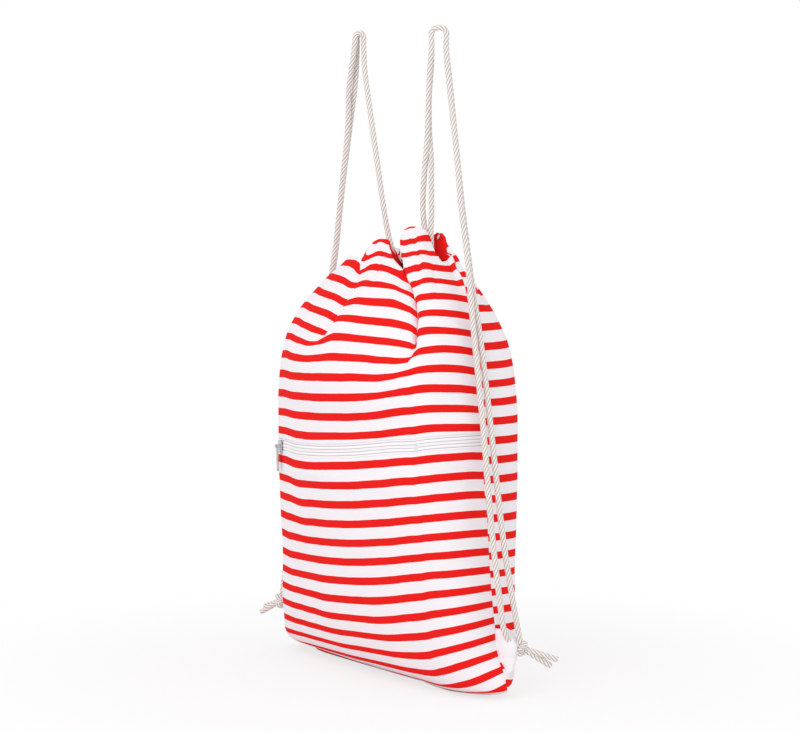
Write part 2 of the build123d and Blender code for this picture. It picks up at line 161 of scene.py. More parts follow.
def half_section(q, height, side):
    """Half of a horizontal section: a parabola across the front and a cubic round each end.

    q runs from -1 at the left seam to 1 at the right one."""
    a, b, across, deep, blunt = np.moveaxis(smooth_through(height, STATIONS[:, 0],
                                                           STATIONS[:, 1:]), -1, 0)
    knuckle, flat = across * a, deep * b
    slope = 2 * (b - flat) / knuckle
    lead = 0.6 * (a - knuckle)
    r = np.abs(q)
    m = np.minimum(r / KNUCKLE_SHARE, 1)
    x, y = knuckle * m, b - (b - flat) * m**2
    s = np.clip((r - KNUCKLE_SHARE) / (1 - KNUCKLE_SHARE), 0, 1)
    k0, k1, k2, k3 = (1 - s)**3, 3 * s * (1 - s)**2, 3 * s**2 * (1 - s), s**3
    end_x = k0 * knuckle + k1 * (knuckle + lead) + k2 * a + k3 * a
    end_y = k0 * flat + k1 * (flat - lead * slope) + k2 * blunt * b
    x, y = np.where(r > KNUCKLE_SHARE, end_x, x), np.where(r > KNUCKLE_SHARE, end_y, y)
    return middle(height) + np.sign(q) * x, side * y


def even_section(p, height, side, steps=160):
    """The same half section with p measured along the cloth: p is even in arc length."""
    q = np.linspace(-1, 1, steps)[None, :]
    rows = np.atleast_1d(height)[:, None]
    x, y = half_section(np.broadcast_to(q, (len(rows), steps)),
                        np.broadcast_to(rows, (len(rows), steps)), side)
    run = np.hypot(np.diff(x, axis=1), np.diff(y, axis=1))
    along = np.concatenate([np.zeros((len(rows), 1)), np.cumsum(run, axis=1)], axis=1)
    along = 2 * along / along[:, -1:] - 1
    shift = 4.0 * np.arange(len(rows))[:, None]
    where = (p + shift).ravel()
    table = (along + shift).ravel()
    return (np.interp(where, table, x.ravel()).reshape(p.shape),
            np.interp(where, table, y.ravel()).reshape(p.shape))


def on_ladder(values, height):
    """Values kept for every column at the ladder's heights, read at each point's height."""
    at = np.clip(height / LADDER[1], 0, len(LADDER) - 1.001)
    low = at.astype(int)
    t = at - low
    column = np.broadcast_to(np.arange(values.shape[1]), height.shape)
    return (1 - t) * values[low, column] + t * values[low + 1, column]


def wall(p, height, side):
    """X and Y of the smooth bag for a row of places p and a row or grid of heights.

    p runs from -1 at the left seam to 1 at the right one.  Towards the mouth the right seam
    turns to the back: the front cloth reaches round the end there, and the back cloth starts
    further on."""
    turn = np.interp(LADDER, *SEAM_TURN)[:, None] * ease(p, 0.5, 1.0)
    place = p - side * turn
    past = place > 1
    place = np.where(past, 2 - place, place)
    x, y = even_section(place, LADDER, side)
    far_x, far_y = even_section(place, LADDER, -side)
    return (on_ladder(np.where(past, far_x, x), height),
            on_ladder(np.where(past, far_y, y), height))


def zip_wall(p):
    """X and Y of the smooth front at the zip's height, for a row of places."""
    return wall(p, np.full(len(p), ZIP_HEIGHT), FRONT)


def wall_frame(p, height, side):
    """Unit vectors of the smooth bag: along its level line, and out of the cloth.

    Both come from the walls a little to each side and a little above and below."""
    near, far = (np.stack(wall(np.clip(p + step, -1, 1), height, side), -1)
                 for step in (-0.004, 0.004))
    low, high = (np.stack(wall(p, height + step, side), -1) for step in (-1.0, 1.0))
    along = np.concatenate([far - near, np.zeros_like(height)[..., None]], -1)
    rise = np.concatenate([high - low, np.full_like(height, 2.0)[..., None]], -1)
    out = np.cross(along, rise) * -side
    return tuple(v / np.maximum(np.linalg.norm(v, axis=-1, keepdims=True), 1e-9)
                 for v in (along, out))


def field(p, height, heights, places, table):
    """A smooth surface through a small table of values, rows by height and columns by place."""
    across = smooth_through(p, np.array(places, float), np.array(table, float).T)
    up = smooth_through(LADDER, np.array(heights, float), across.T)
    return on_ladder(up, height)


# ---- mesh helpers ---------------------------------------------------------------
def grid_faces(rows, columns, wrap=False, flip=False):
    """Index quads of a grid, closed round its columns if wrap is set."""
    i = np.arange(rows - 1)[:, None]
    j = np.arange(columns if wrap else columns - 1)[None, :]
    k = (j + 1) % columns
    quads = np.stack(np.broadcast_arrays(i * columns + j, i * columns + k,
                                         (i + 1) * columns + k, (i + 1) * columns + j), -1)
    quads = quads.reshape(-1, 4)
    return quads[:, ::-1] if flip else quads


def make_mesh(name, points, faces, uv=None, attributes=None):
    """A mesh object from points in millimetres and index faces, with smooth shading."""
    mesh = bpy.data.meshes.new(name)
    mesh.from_pydata((points.reshape(-1, 3) * MM).tolist(), [], [f.tolist() for f in faces])
    mesh.shade_smooth()
    if uv is not None:
        layer = mesh.uv_layers.new(name="cloth")
        loops = np.empty(len(mesh.loops), np.int32)
        mesh.loops.foreach_get("vertex_index", loops)
        layer.data.foreach_set("uv", uv.reshape(-1, 2)[loops].astype(np.float32).ravel())
    for key, values in (attributes or {}).items():
        attribute = mesh.attributes.new(key, "FLOAT", "POINT")
        attribute.data.foreach_set("value", values.astype(np.float32).ravel())
    thing = bpy.data.objects.new(name, mesh)
    bpy.context.scene.collection.objects.link(thing)
    return thing


def thicken(thing, thickness):
    """Gives a sheet its thickness, inwards from its face."""
    shell = thing.modifiers.new("thickness", "SOLIDIFY")
    shell.thickness, shell.offset = thickness, -1.0
    shell.use_even_offset, shell.use_rim = False, True


# ---- shader maths ----------------------------------------------------------------
class Wire:
    """A node socket that takes part in sums, so shader maths reads as an expression."""

    def __init__(self, nodes, socket):
        self.nodes, self.socket = nodes, socket

    def _math(self, operation, first, second=0.0):
        return self.nodes.node("ShaderNodeMath", {0: first, 1: second}, operation=operation)

    def __add__(self, other):
        return self._math("ADD", self, other)

    def __sub__(self, other):
        return self._math("SUBTRACT", self, other)

    def __rsub__(self, other):
        return self._math("SUBTRACT", other, self)

    def __mul__(self, other):
        return self._math("MULTIPLY", self, other)

    def __truediv__(self, other):
        return self._math("DIVIDE", self, other)

    def __rtruediv__(self, other):
        return self._math("DIVIDE", other, self)

    __radd__, __rmul__ = __add__, __mul__

    def larger(self, other):
        return self._math("MAXIMUM", self, other)

    def fraction(self):
        return self._math("FRACT", self)

    def absolute(self):
        return self._math("ABSOLUTE", self)

    def sine(self):
        return self._math("SINE", self)

    def step(self, low, high):
        """0 below low, 1 above high, smooth between."""
        return self.nodes.node("ShaderNodeMapRange", {"Value": self, "From Min": low,
                               "From Max": high}, interpolation_type="SMOOTHSTEP")


class Nodes:
    """A node tree whose nodes are added as expressions."""

    def __init__(self, tree):
        self.tree = tree

    def node(self, kind, inputs=None, output=0, **settings):
        """A node of a type: its settings first, then the values or links of its sockets."""
        made = self.tree.nodes.new(kind)
        for key, value in settings.items():
            setattr(made, key, value)
        for key, value in (inputs or {}).items():
            if isinstance(value, Wire):
                self.tree.links.new(value.socket, made.inputs[key])
            else:
                made.inputs[key].default_value = value
        return Wire(self, made.outputs[output])


class Shader(Nodes):
    """One material: its Principled shader and the nodes added before it."""

    def __init__(self, name, roughness=0.5, metallic=0.0, specular=0.5):
        self.material = bpy.data.materials.new(f"{name}_look")
        self.material.use_nodes = True
        super().__init__(self.material.node_tree)
        self.base = self.tree.nodes["Principled BSDF"]
        for key, value in (("Roughness", roughness), ("Metallic", metallic),
                           ("Specular IOR Level", specular)):
            self.base.inputs[key].default_value = value

    def mix(self, factor, first, second):
        """Colour from first to second by a factor."""
        return self.node("ShaderNodeMix", {0: factor, 6: first, 7: second}, 2, data_type="RGBA")

    def noise(self, vector, scale, detail=2.0):
        """Soft noise round 0.5, of a vector times a scale."""
        return self.node("ShaderNodeTexNoise", {"Vector": vector, "Scale": scale,
                                                "Detail": detail})

    def place(self):
        """Object coordinates, in metres."""
        return self.node("ShaderNodeTexCoord", output="Object")

    def value(self, name):
        """A float attribute of the mesh."""
        return self.node("ShaderNodeAttribute", output="Fac", attribute_name=name)

    def uv(self):
        """The two cloth coordinates, in millimetres."""
        vector = self.node("ShaderNodeUVMap", uv_map="cloth")
        return [self.node("ShaderNodeSeparateXYZ", {0: vector}, axis) for axis in ("X", "Y")]

    def feed(self, **sockets):
        """Links wires to the Principled shader's sockets."""
        for key, wire in sockets.items():
            self.tree.links.new(wire.socket, self.base.inputs[key.replace("_", " ").title()])

    def relief(self, height, strength, distance):
        """Bump from a height into the shader's normal."""
        self.feed(Normal=self.node("ShaderNodeBump", {"Height": height, "Strength": strength,
                                                      "Distance": distance}))


# ---- settings --------------------------------------------------------------------
def colour_setting(name, description, default):
    """A colour that a user may change."""
    return FloatVectorProperty(name=name, description=description, default=default,
                               subtype="COLOR", size=3)


def length_setting(name, description, default, low, high):
    """A length in metres that a user may change."""
    return FloatProperty(name=name, description=description, default=default, min=low, max=high,
                         unit="LENGTH")


class BACKPACK_PG_cloth(bpy.types.PropertyGroup):
    """Sizes and colours of the striped cloth."""
    repeat: FloatProperty(name="Repeat", description="Stripe repeat in millimetres",
                          default=17.4, min=5.0, max=60.0)
    share: FloatProperty(name="Red share", description="Share of the repeat that is red",
                         default=0.405, min=0.05, max=0.95, subtype="FACTOR")
    red: colour_setting("Red", "Colour of the red stripes", (0.90, 0.0125, 0.0108))
    white: colour_setting("White", "Colour of the white cloth", (0.93, 0.90, 0.925))
    thickness: length_setting("Thickness", "Thickness of the cloth", 0.0011, 0.0003, 0.003)


class BACKPACK_PG_cord(bpy.types.PropertyGroup):
    """Sizes and colours of the twisted cord."""
    diameter: length_setting("Diameter", "Diameter of the cord", 0.005, 0.002, 0.012)
    lay: length_setting("Lay", "Length of one full twist", 0.0225, 0.005, 0.05)
    plies: IntProperty(name="Plies", description="Number of twisted plies", default=5,
                       min=2, max=8)
    colour: colour_setting("Colour", "Colour of the cord", (0.90, 0.855, 0.82))
    # Painted shade between the plies.
    groove_shade: colour_setting("Groove", "Colour between the plies", (0.42, 0.35, 0.32))


class BACKPACK_PG_stage(bpy.types.PropertyGroup):
    """Floor and light."""
    floor: colour_setting("Floor", "Colour of the floor", (0.90, 0.89, 0.90))
    key: FloatProperty(name="Key", description="Power of the large front light",
                       default=12.0, min=0.0, max=200.0, unit="POWER")


def cloth_settings():
    return bpy.context.scene.backpack_cloth


def cord_settings():
    return bpy.context.scene.backpack_cord


# ---- materials --------------------------------------------------------------------
STRIPE_BLUR = 0.14        # half the width over which a stripe's edge fades
THREAD = 0.9              # width of one turn of the weave's waves
PALE_PLASTIC = (0.91, 0.89, 0.91)
# Grey painted into the zip's grooves as their shade.
ZIP_GROOVE_SHADE = (0.33, 0.31, 0.32)


def rgba(colour, factor=1.0):
    """A colour with full alpha, times one factor or one for each channel."""
    return (*(np.array(colour) * factor), 1)


def weave_height(u, v):
    """Plain weave: a sine wave along one coordinate times one along the other."""
    turn = 2 * math.pi / THREAD
    return (u * turn).sine() * (v * turn).sine()


def striped_cloth(name):
    """White cloth with red stripes across it, plain weave, slightly uneven dye.

    Cloth is red where its distance from the nearest whole repeat is below half a red stripe,
    and all over where the mesh's mask "inside" is set."""
    cloth = cloth_settings()
    shader = Shader(name, roughness=0.82, specular=0.06)
    u, v = shader.uv()
    place = shader.place()
    waver = shader.noise(place, 90.0, 3.0) * 0.5 - 0.25
    phase = ((v + waver) / cloth.repeat + 0.5).fraction() - 0.5
    edge = phase.absolute() * cloth.repeat
    half = cloth.share * cloth.repeat / 2
    red = 1 - edge.step(half - STRIPE_BLUR, half + STRIPE_BLUR)
    red = red + shader.value("inside").step(0.4, 0.6) * (1 - red)
    cloudy = shader.noise(place, 14.0, 3.0)
    thread = shader.noise(shader.node("ShaderNodeCombineXYZ", {0: u * 0.12, 1: v * 3.2}), 1.0)
    white = shader.mix(cloudy, rgba(cloth.white), rgba(cloth.white, (0.965, 0.955, 0.965)))
    dye = shader.mix(thread, rgba(cloth.red), rgba(cloth.red, (0.88, 1.2, 1.2)))
    shader.feed(Base_Color=shader.mix(red, white, dye),
                Roughness=shader.noise(place, 300.0) * 0.12 + 0.76)
    shader.relief(weave_height(u, v) + shader.noise(place, 900.0) * 0.8, 0.35, 0.00025)
    return shader.material


def tape_cloth(name):
    """Ribbed white zip tape, with painted shade in grey along the grooves between its ribs."""
    shader = Shader(name, roughness=0.7)
    groove_shade = shader.value("groove_shade")
    place = shader.place()
    shader.feed(Base_Color=shader.mix(groove_shade, (0.92, 0.90, 0.92, 1), rgba(ZIP_GROOVE_SHADE)),
                Roughness=shader.noise(place, 400.0) * 0.2 + 0.6)
    shader.relief(shader.noise(place, 1500.0) - groove_shade, 0.4, 0.0002)
    return shader.material


def teeth_plastic(name):
    """Pale satin plastic of the zip's teeth, with painted shade in grey along their grooves."""
    shader = Shader(name, roughness=0.45)
    shader.feed(Base_Color=shader.mix(shader.value("groove_shade"), rgba(PALE_PLASTIC), rgba(ZIP_GROOVE_SHADE)),
                Roughness=shader.noise(shader.place(), 600.0) * 0.2 + 0.35)
    return shader.material


def plain_cloth(name, colour):
    """Plain fabric in one colour, faintly mottled."""
    shader = Shader(name, roughness=0.85)
    place = shader.place()
    grain = 700.0
    shader.feed(Base_Color=shader.mix(shader.noise(place, 25.0, 3.0), rgba(colour),
                                      rgba(colour, 0.93)),
                Roughness=shader.noise(place, grain) * 0.15 + 0.75)
    shader.relief(shader.noise(place, grain, 3.0), 0.3, 0.0003)
    return shader.material


def twisted_cord(name):
    """Off-white plies with painted shade in grey-brown in the grooves between them and fine fibres
    along them.
    """
    cord = cord_settings()
    shader = Shader(name, roughness=0.8, specular=0.15)
    ply, along = shader.uv()
    fibre = shader.noise(shader.node("ShaderNodeCombineXYZ", {0: ply * 6.0, 1: along * 0.16}),
                         1.0, 3.0)
    swell = (ply * math.pi).sine().absolute()
    # Painted shade darkens the grooves between the plies.
    groove_shade = 1 - swell.step(0.12, 0.72)
    lit = shader.mix(fibre, rgba(cord.colour), rgba(cord.colour, 0.92))
    shader.feed(Base_Color=shader.mix(groove_shade, lit, rgba(cord.groove_shade)),
                Roughness=fibre * 0.2 + 0.68)
    shader.relief(swell + fibre * 0.25, 0.6, 0.0005)
    return shader.material


def metal(name, colour, roughness):
    """Satin metal, worn in fine spots."""
    shader = Shader(name, metallic=1.0)
    worn = shader.noise(shader.place(), 500.0, 4.0)
    shader.feed(Base_Color=shader.mix(worn, rgba(colour), rgba(colour, 0.8)),
                Roughness=worn * 0.25 + (roughness - 0.1))
    shader.relief(worn, 0.15, 0.0001)
    return shader.material


MADE = {}


def material(name, maker, *values):
    """A material by name, made once."""
    if name not in MADE:
        MADE[name] = maker(name, *values)
    return MADE[name]


def dress(thing, slot, node, maker, *values):
    """Gives a piece the material named after its slot, puts it on the bag's body and hides the CAD
    node it stands for.
    """
    thing.data.materials.append(material(slot, maker, *values))
    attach(thing, "bag")
    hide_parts(node)


def repaint(node, name, maker, *values):
    """Gives a piece of the frame one material of its own."""
    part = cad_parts[node]
    part.data.materials.clear()
    part.data.materials.append(material(name, maker, *values))
    return part


# ---- folds of the gathered cloth ---------------------------------------------------
# Each fold: points (height, place along the half section), depth in millimetres, reach to
# its left and right, how far the stripes left of it dip towards it and over what reach, how
# far its right side leans over it, and the heights between which it grows.  One that
# slackens again has the heights between which it does and the share that is left.
FRONT_FOLDS = [
    ([(250, 0.40), (263, 0.46), (281, 0.60), (300, 0.685), (323, 0.70), (336, 0.68), (348, 0.64),
      (358, 0.59), (366, 0.54), (400, 0.54)], 13.0, 24.0, 5.0, 14.0, 48.0, 5.0, (266, 318),
     (352, 372, 0.30)),
    ([(285, -0.25), (294, -0.17), (304, -0.06), (318, -0.02), (332, 0.01), (348, 0.04),
      (358, 0.0), (367, -0.11), (376, -0.19), (400, -0.26)], 6.0, 16.0, 3.5, 13.0, 45.0, 3.0,
     (288, 316)),
    ([(330, -0.62), (360, -0.66), (400, -0.74)], 3.0, 10.0, 5.0, 0.0, 20.0, 1.0, (318, 352)),
    ([(338, 0.94), (360, 0.96), (400, 0.98)], 4.0, 6.0, 4.0, 0.0, 20.0, 0.0, (335, 365)),
    ([(345, 0.24), (372, 0.20), (400, 0.18)], 3.5, 9.0, 5.0, 0.0, 20.0, 1.5, (338, 368)),
    ([(330, 0.80), (360, 0.79), (400, 0.80)], 3.0, 9.0, 9.0, 0.0, 20.0, 0.0, (325, 360),
     (375, 392, 0.4)),
]
BACK_FOLDS = [
    ([(262, -0.66), (300, -0.60), (345, -0.50), (400, -0.42)], 11.0, 20.0, 6.0, 8.0, 45.0, 4.0,
     (262, 330)),
    ([(250, 0.12), (300, 0.06), (345, 0.0), (400, -0.04)], 9.0, 18.0, 6.0, 6.0, 40.0, 3.0,
     (258, 330)),
    ([(290, 0.54), (340, 0.47), (400, 0.40)], 10.0, 16.0, 5.0, 7.0, 30.0, 4.0, (282, 340)),
    ([(325, -0.22), (360, -0.23), (400, -0.24)], 6.0, 9.0, 4.0, 0.0, 20.0, 2.0, (320, 362)),
    ([(325, 0.24), (360, 0.22), (400, 0.20)], 6.0, 9.0, 4.0, 0.0, 20.0, 2.0, (325, 365)),
    ([(330, 0.80), (360, 0.76), (400, 0.74)], 6.0, 9.0, 4.0, 2.0, 20.0, 2.0, (322, 360)),
    ([(335, -0.85), (400, -0.80)], 6.0, 8.0, 4.0, 0.0, 20.0, 2.0, (330, 365)),
]
# Half the length of the level section in millimetres: heights, lengths.
HALF_LENGTHS = ((200, 300, 335, 350, 364, 378, 386, 400), (165, 157, 130, 119, 95, 73, 64, 62))


def fold_fields(p, height, folds):
    """Depth along the normal, dip of the stripes and lean along the section, over all folds.

    Across a fold depth and dip fall off as e to the minus distance over reach, the dip on
    its left side only, and the lean is a bell a little to the right of the fold."""
    half_length = np.interp(height, *HALF_LENGTHS)
    press, dip, lean = (np.zeros_like(height) for _ in range(3))
    for line, depth, left, right, fall, reach, over, grows, *slackens in folds:
        away = (p - np.interp(height, *np.array(line).T)) * half_length
        strength = ease(height, *grows)
        for start, end, share in slackens:
            strength = strength * (1 - (1 - share) * ease(height, start, end))
        press += depth * strength * np.exp(-np.abs(away) / np.where(away < 0, left, right))
        soft = 1.2 + 16 * (1 - strength)
        dip += fall * strength * np.exp(-np.abs(away) / reach) * ease(-away, -soft, soft)
        lean -= over * strength * bump(away, right, right)
    return press, dip, lean


# Rows are even up to this height, which takes this share of them, then spread to the rim.
LEVEL_ROWS, LEVEL_SHARE = 352.0, 0.8
# Top edge of the gathered cloth: places along the half section and heights.  The front has
# a low left lobe, a middle lobe, a deep gap for the left cords and a tall right lobe.
FRONT_RIM = np.array([(-1.0, 367), (-0.84, 369), (-0.70, 371.5), (-0.50, 372.5), (-0.35, 371.5),
                      (-0.22, 373), (-0.185, 374.5), (-0.165, 379), (-0.10, 382.5), (0.0, 386),
                      (0.08, 387), (0.16, 387), (0.25, 386.5), (0.31, 381), (0.37, 374),
                      (0.42, 369), (0.48, 365.5), (0.525, 364), (0.534, 364.5), (0.546, 386),
                      (0.57, 391.5), (0.61, 395), (0.67, 398), (0.76, 396.5), (0.82, 392),
                      (0.85, 387), (0.862, 372), (0.88, 369), (0.93, 370), (1.0, 374)])
BACK_RIM = np.array([(-1.0, 368), (-0.9, 376), (-0.78, 380), (-0.6, 383), (-0.4, 380),
                     (-0.2, 385), (0.0, 383), (0.2, 389), (0.42, 387), (0.6, 392), (0.8, 392),
                     (0.88, 389), (0.94, 382), (1.0, 374)])
LOBE_LEFT, LOBE_RIGHT = 0.54, 0.856     # places of the edges of the front's right lobe
FRONT_PLEAT, BACK_PLEAT = 0.6, 3.0      # depth of the small pleats between the folds


def front_places(columns):
    """Places from seam to seam, five times as dense at both edges of the front's right lobe."""
    even = np.linspace(-1, 1, 2001)
    weight = np.cumsum(1 + 4 * bump(even, LOBE_LEFT, 0.035) + 4 * bump(even, LOBE_RIGHT, 0.03))
    return np.interp(np.linspace(weight[0], weight[-1], columns), weight, even)


def upper_cloth(side, p, low, rows, folds, rim):
    """Cloth from a lower edge up to the gathered rim, for a row of places.

    On the smooth wall come the folds, small pleats that are two sine waves of the place,
    and on the front a lean to the left of the right lobe's free edge.  All fade at the
    seams."""
    top = smooth_through(p, rim[:, 0], rim[:, 1:])[:, 0]
    share = np.linspace(0, 1, rows)[:, None]
    height = low + (LEVEL_ROWS - low) * np.minimum(share / LEVEL_SHARE, 1)
    height = height + (top - LEVEL_ROWS) * np.clip((share - LEVEL_SHARE) / (1 - LEVEL_SHARE), 0, 1)
    press, dip, lean = fold_fields(p, height, folds)
    pleat = BACK_PLEAT
    if side == FRONT:
        pleat = FRONT_PLEAT
        lean = lean - 5.0 * ease(height, 358, 394) * bump(p, 0.545, 0.12) * (p > LOBE_LEFT)
    press += ease(height, 345, 384) * pleat * (
        1.2 - np.abs(np.sin(p * 15.0 + side)) - 0.6 * np.abs(np.sin(p * 26.0)))
    seam_hold = ease(1 - np.abs(p), 0, 0.03)
    tangent, normal = wall_frame(p, height, side)
    points = np.stack([*wall(p, height, side), height], -1)
    points = points - normal * (press * seam_hold)[..., None]
    points = points + tangent * (lean * seam_hold)[..., None]
    return height, points, normal, dip


def rim_rows(points, normal, roll=2.0, rows=16, blur=15):
    """Rows that roll the top edge over and gather it inwards till the mouth is nearly closed.

    The roll is half a circle.  From its end each point runs towards the mouth's middle and
    sinks to 5 mm below the mean height of its neighbours, or to 368 mm where that is lower.
    Two sine waves of the angle round the mouth make its pleats."""
    turn = np.linspace(0, math.pi, 6)[1:, None, None]
    over = points[-1] - normal[-1] * roll * (1 - np.cos(turn))
    over = over + np.array([0, 0, 1.0]) * roll * np.sin(turn)
    start_x, start_y, start_z = over[-1].T
    window = np.ones(2 * blur + 1) / (2 * blur + 1)
    level = np.convolve(np.pad(start_z, blur, mode="edge"), window, mode="valid")
    angle = np.arctan2(start_y, start_x - MOUTH_OFFSET)
    pleats = np.sin(angle * 17) + 0.5 * np.sin(angle * 29 + 1)
    share = np.linspace(0, 1, rows)[1:, None]
    left = 1 - 0.80 * share ** 0.8
    x = MOUTH_OFFSET + (start_x - MOUTH_OFFSET) * left
    y = start_y * left
    sunk = start_z + (np.minimum(level - 5, 368) - start_z) * share ** 0.7
    z = sunk + 1.8 * pleats * np.sin(np.pi * share) ** 0.8
    return np.concatenate([over, np.stack(np.broadcast_arrays(x, y, z), -1)])


# How far the bottom edge stands off the floor: places and heights.
FRONT_LIFT = ((-1.0, -0.85, -0.5, 0.0, 0.3, 0.5, 0.62, 0.8, 1.0),
              (4.0, 6.4, 6.6, 5.8, 4.6, 3.4, 1.4, 0.0, 0.0))
BACK_LIFT = ((-1.0, -0.6, 0.0, 0.6, 1.0), (0.0, 1.0, 2.0, 2.0, 4.0))


def lower_body(side, p, top, rows, under=14):
    """Cloth from the bottom seam out along the floor, then up to a top edge, for a row of places.

    Its rows get denser towards the floor, and its lift off the floor fades with the square
    of what is left of the lowest 60 mm."""
    height = np.linspace(0, 1, rows)[:, None] ** 1.25 * top
    x, y = wall(p, height, side)
    lift = np.interp(p, *(FRONT_LIFT if side == FRONT else BACK_LIFT))
    raised = height + lift * np.clip(1 - height / 60, 0, 1) ** 2
    spread = np.linspace(0, 1, under)[:-1, None]
    floor = np.stack(np.broadcast_arrays(x[:1], y[:1] * spread, raised[:1] * spread ** 3), -1)
    return np.concatenate([floor, np.stack([x, y, raised], -1)])


# How far the stripes stand above their even spacing, by height and place, in millimetres.
# The front's were fitted to the middles of the stripes that the photograph shows.
SHIFT_HEIGHTS = (0, 12, 30, 60, 100, 150, 205, 232, 250, 268, 284, 300, 317, 332, 342, 352, 362,
                 372, 390)
SHIFT_PLACES = (-1, -0.75, -0.55, -0.35, -0.2, -0.08, 0.05, 0.15, 0.25, 0.35, 0.45, 0.53, 0.6,
                0.7, 0.8, 0.9, 1)
FRONT_SHIFT = [
    [12.3, 16.1, 19.2, 21.5, 21.7, 20.6, 18.9, 17.4, 15.3, 12.9, 10.7, 9.8, 10.0, 12.3, 16.3, 21.3,
     26.7],
    [11.7, 12.8, 13.7, 15.9, 15.6, 14.2, 13.5, 12.9, 11.6, 9.6, 8.0, 7.6, 8.1, 10.7, 15.5, 20.8,
     26.0],
    [10.6, 8.2, 5.6, 6.5, 5.7, 5.4, 5.8, 5.6, 5.0, 4.1, 4.1, 4.6, 5.9, 8.8, 14.1, 19.4, 24.0],
    [8.7, 4.1, 1.0, 1.7, 0.3, 0.5, 0.7, 0.7, 0.5, 1.0, 2.3, 3.7, 5.3, 7.6, 10.7, 14.0, 17.3],
    [7.0, 2.0, -1.8, -0.3, -0.3, -0.1, -0.1, 0.3, 0.6, 1.0, 1.7, 3.1, 4.5, 5.8, 6.6, 7.3, 7.9],
    [5.7, 2.8, -0.2, -1.3, -0.5, -0.6, -0.6, -0.5, -0.3, -0.1, -0.0, 1.0, 2.2, 2.6, 2.9, 3.1, 2.7],
    [3.3, 2.0, 0.8, 0.3, -0.2, 0.2, 0.4, 0.3, 0.1, -0.1, -0.3, 0.2, 0.7, 0.5, 0.6, 0.7, -0.4],
    [2.3, 1.0, 0.1, 0.3, 0.3, -0.2, -0.6, -1.2, -1.5, -1.9, -1.6, -0.7, 0.3, 0.2, -0.5, -1.4, -2.6],
    [1.9, 1.2, 0.9, 1.0, 0.9, 0.4, -0.2, -0.8, -1.6, -2.2, -1.8, -0.9, -0.2, -0.6, -1.2, -2.2,
     -4.4],
    [2.1, 1.8, 1.6, 1.6, 1.4, 1.2, 0.4, -0.5, -1.4, -3.3, -4.7, -3.6, -1.4, -0.4, -1.0, -2.2, -4.7],
    [2.7, 2.5, 2.2, 1.1, 0.3, 1.0, 1.4, 0.6, -0.7, -2.4, -4.6, -5.2, -4.1, -1.9, -1.3, -2.7, -5.5],
    [3.6, 3.1, 2.6, 1.2, -1.4, -1.0, 2.5, 1.9, 0.4, -1.2, -2.8, -3.2, -3.1, -2.6, -2.1, -3.4, -6.6],
    [5.0, 3.5, 2.3, 1.4, 0.8, 1.5, 4.0, 3.1, 1.4, 0.0, -0.8, -1.0, -0.8, -0.9, -3.0, -5.3, -8.1],
    [6.7, 4.2, 2.3, 0.8, -0.1, -0.1, 1.5, 3.1, 1.9, 0.8, 0.6, 0.2, -0.7, -2.4, -4.4, -6.7, -9.9],
    [8.2, 5.2, 3.0, 0.8, -0.6, -0.9, 1.3, 3.4, 2.8, 2.3, 2.8, 1.4, -1.0, -2.9, -5.3, -7.9, -11.1],
    [9.9, 6.8, 4.1, 1.8, 0.1, -1.2, 2.3, 4.2, 3.2, 2.2, 0.8, -2.8, -3.4, -2.9, -5.9, -10.0, -11.3],
    [11.9, 9.1, 6.9, 5.4, 2.5, -0.9, 2.1, 3.1, 2.0, -0.3, -3.5, -5.3, -5.0, -4.2, -8.2, -10.8,
     -9.2],
    [14.1, 12.0, 10.5, 9.1, 5.5, 1.1, -1.8, -0.6, -2.7, -7.5, -8.9, -7.4, -5.5, -4.3, -9.3, -10.8,
     -9.2],
    [18.3, 17.8, 16.8, 13.9, 9.1, 3.6, -3.1, -7.3, -11.3, -14.0, -13.8, -12.2, -11.0, -11.1, -12.7,
     -12.5, -11.6],
]
BACK_HEIGHTS = (0, 14, 58, 119, 151, 184, 218, 250, 280, 300, 400)
BACK_SHIFT = [[v, v] for v in (18, 17.3, 14.7, 7, 4, 2.5, 1, -0.5, -3, -4, -4)]


def striped_piece(name, node, points, p, v, flip=False, **masks):
    """A striped cloth from its grid of points, its row of places and its second coordinate."""
    uv = np.stack(np.broadcast_arrays(p * HALF_CLOTH, v), -1)
    thing = make_mesh(name, points, grid_faces(*v.shape, flip=flip), uv, masks)
    thicken(thing, cloth_settings().thickness)
    dress(thing, "striped_cloth", node, striped_cloth)


class BACKPACK_OT_upper_front(bpy.types.Operator):
    """Front cloth above the zip, gathered into folds at the mouth"""
    bl_idname = "backpack.upper_front"
    bl_label = "Upper front"

    def execute(self, context):
        p = front_places(FRONT_COLUMNS)
        low = zip_line(zip_wall(p)[0]) + SLOT_HALF
        height, points, normal, dip = upper_cloth(FRONT, p, low, FRONT_UPPER_ROWS, FRONT_FOLDS,
                                                  FRONT_RIM)
        v = lengths(points) + SLOT_HALF + dip - FIRST_STRIPE
        v = v - field(p, height, SHIFT_HEIGHTS, SHIFT_PLACES, FRONT_SHIFT)
        over = rim_rows(points, normal)
        v = np.concatenate([v, v[-1] + lengths(np.concatenate([points[-1:], over]))[1:]])
        # Past the edge the cloth is red round the gap for the left cords and right of the lobe.
        inside = np.zeros_like(v)
        inside[-len(over) + 2:] = (1 - ease(np.abs(p - 0.48), 0.18, 0.20)
                                   + ease(p, 0.85, 0.87))
        striped_piece("upper_front_cloth", "front_panel_upper", np.concatenate([points, over]),
                      p, v, inside=inside)
        return {"FINISHED"}


